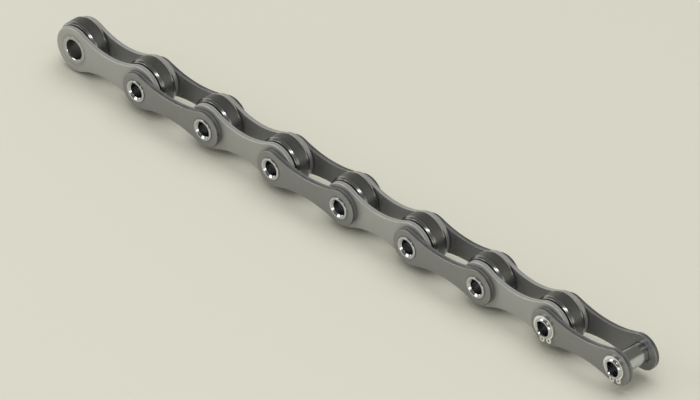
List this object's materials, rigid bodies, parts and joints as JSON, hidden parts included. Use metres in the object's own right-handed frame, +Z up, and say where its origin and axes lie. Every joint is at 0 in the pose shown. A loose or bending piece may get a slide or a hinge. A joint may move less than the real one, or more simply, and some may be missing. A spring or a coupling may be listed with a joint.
{
  "type": "roller conveyor chain",
  "caption": "Straight run of hollow pin conveyor chain with waisted link plates and large rollers, an open inner link at one end and a clipped connecting link at the other.",
  "frame": {"origin": "middle of the hollow pin at position 5, the middle joint of the run", "axes": "+X along the chain towards the open outer link, +Y along the pins towards the back plates, away from the circlips, +Z up"},
  "size_m": [0.4247, 0.0253, 0.0286],
  "materials": {
    "plate_steel": "satin, tumbled",
    "roller_steel": "polished, hardened and darkened",
    "bush_steel": "ground",
    "pin_steel": "bright, ground",
    "spring_steel": "bright"
  },
  "bodies": {
    "link_1": {"inner_plate_front_1": "plate_steel", "inner_plate_back_1": "plate_steel", "bush_1": "bush_steel", "bush_2": "bush_steel"},
    "link_2": {"outer_plate_front_2": "plate_steel", "outer_plate_back_2": "plate_steel", "pin_2": "pin_steel", "pin_3": "pin_steel"},
    "link_3": {"inner_plate_front_3": "plate_steel", "inner_plate_back_3": "plate_steel", "bush_3": "bush_steel", "bush_4": "bush_steel"},
    "link_4": {"outer_plate_front_4": "plate_steel", "outer_plate_back_4": "plate_steel", "pin_4": "pin_steel", "pin_5": "pin_steel"},
    "link_5": {"inner_plate_front_5": "plate_steel", "inner_plate_back_5": "plate_steel", "bush_5": "bush_steel", "bush_6": "bush_steel"},
    "link_6": {"outer_plate_front_6": "plate_steel", "outer_plate_back_6": "plate_steel", "pin_6": "pin_steel", "pin_7": "pin_steel"},
    "link_7": {"inner_plate_front_7": "plate_steel", "inner_plate_back_7": "plate_steel", "bush_7": "bush_steel", "bush_8": "bush_steel"},
    "link_8": {"outer_plate_front_8": "plate_steel", "outer_plate_back_8": "plate_steel", "pin_8": "pin_steel", "pin_9": "pin_steel", "circlip_8": "spring_steel", "circlip_9": "spring_steel"},
    "roller_1": {"roller_1": "roller_steel"},
    "roller_2": {"roller_2": "roller_steel"},
    "roller_3": {"roller_3": "roller_steel"},
    "roller_4": {"roller_4": "roller_steel"},
    "roller_5": {"roller_5": "roller_steel"},
    "roller_6": {"roller_6": "roller_steel"},
    "roller_7": {"roller_7": "roller_steel"},
    "roller_8": {"roller_8": "roller_steel"}
  },
  "joints": [
    {"name": "pin_joint_2", "type": "hinge", "parent": "link_2", "child": "link_1", "pos_m": [-0.15, 0, 0], "axis": [0, 1, 0], "range_deg": [-40, 40]},
    {"name": "pin_joint_3", "type": "hinge", "parent": "link_3", "child": "link_2", "pos_m": [-0.1, 0, 0], "axis": [0, 1, 0], "range_deg": [-40, 40]},
    {"name": "pin_joint_4", "type": "hinge", "parent": "link_4", "child": "link_3", "pos_m": [-0.05, 0, 0], "axis": [0, 1, 0], "range_deg": [-40, 40]},
    {"name": "pin_joint_5", "type": "hinge", "parent": "link_4", "child": "link_5", "pos_m": [0, 0, 0], "axis": [0, -1, 0], "range_deg": [-40, 40]},
    {"name": "pin_joint_6", "type": "hinge", "parent": "link_5", "child": "link_6", "pos_m": [0.05, 0, 0], "axis": [0, -1, 0], "range_deg": [-40, 40]},
    {"name": "pin_joint_7", "type": "hinge", "parent": "link_6", "child": "link_7", "pos_m": [0.1, 0, 0], "axis": [0, -1, 0], "range_deg": [-40, 40]},
    {"name": "pin_joint_8", "type": "hinge", "parent": "link_7", "child": "link_8", "pos_m": [0.15, 0, 0], "axis": [0, -1, 0], "range_deg": [-40, 40]},
    {"name": "roller_spin_1", "type": "hinge", "parent": "link_1", "child": "roller_1", "pos_m": [-0.2, 0, 0], "axis": [0, 1, 0], "continuous": true},
    {"name": "roller_spin_2", "type": "hinge", "parent": "link_1", "child": "roller_2", "pos_m": [-0.15, 0, 0], "axis": [0, 1, 0], "continuous": true},
    {"name": "roller_spin_3", "type": "hinge", "parent": "link_3", "child": "roller_3", "pos_m": [-0.1, 0, 0], "axis": [0, 1, 0], "continuous": true},
    {"name": "roller_spin_4", "type": "hinge", "parent": "link_3", "child": "roller_4", "pos_m": [-0.05, 0, 0], "axis": [0, 1, 0], "continuous": true},
    {"name": "roller_spin_5", "type": "hinge", "parent": "link_5", "child": "roller_5", "pos_m": [0, 0, 0], "axis": [0, 1, 0], "continuous": true},
    {"name": "roller_spin_6", "type": "hinge", "parent": "link_5", "child": "roller_6", "pos_m": [0.05, 0, 0], "axis": [0, 1, 0], "continuous": true},
    {"name": "roller_spin_7", "type": "hinge", "parent": "link_7", "child": "roller_7", "pos_m": [0.1, 0, 0], "axis": [0, 1, 0], "continuous": true},
    {"name": "roller_spin_8", "type": "hinge", "parent": "link_7", "child": "roller_8", "pos_m": [0.15, 0, 0], "axis": [0, 1, 0], "continuous": true}
  ]
}
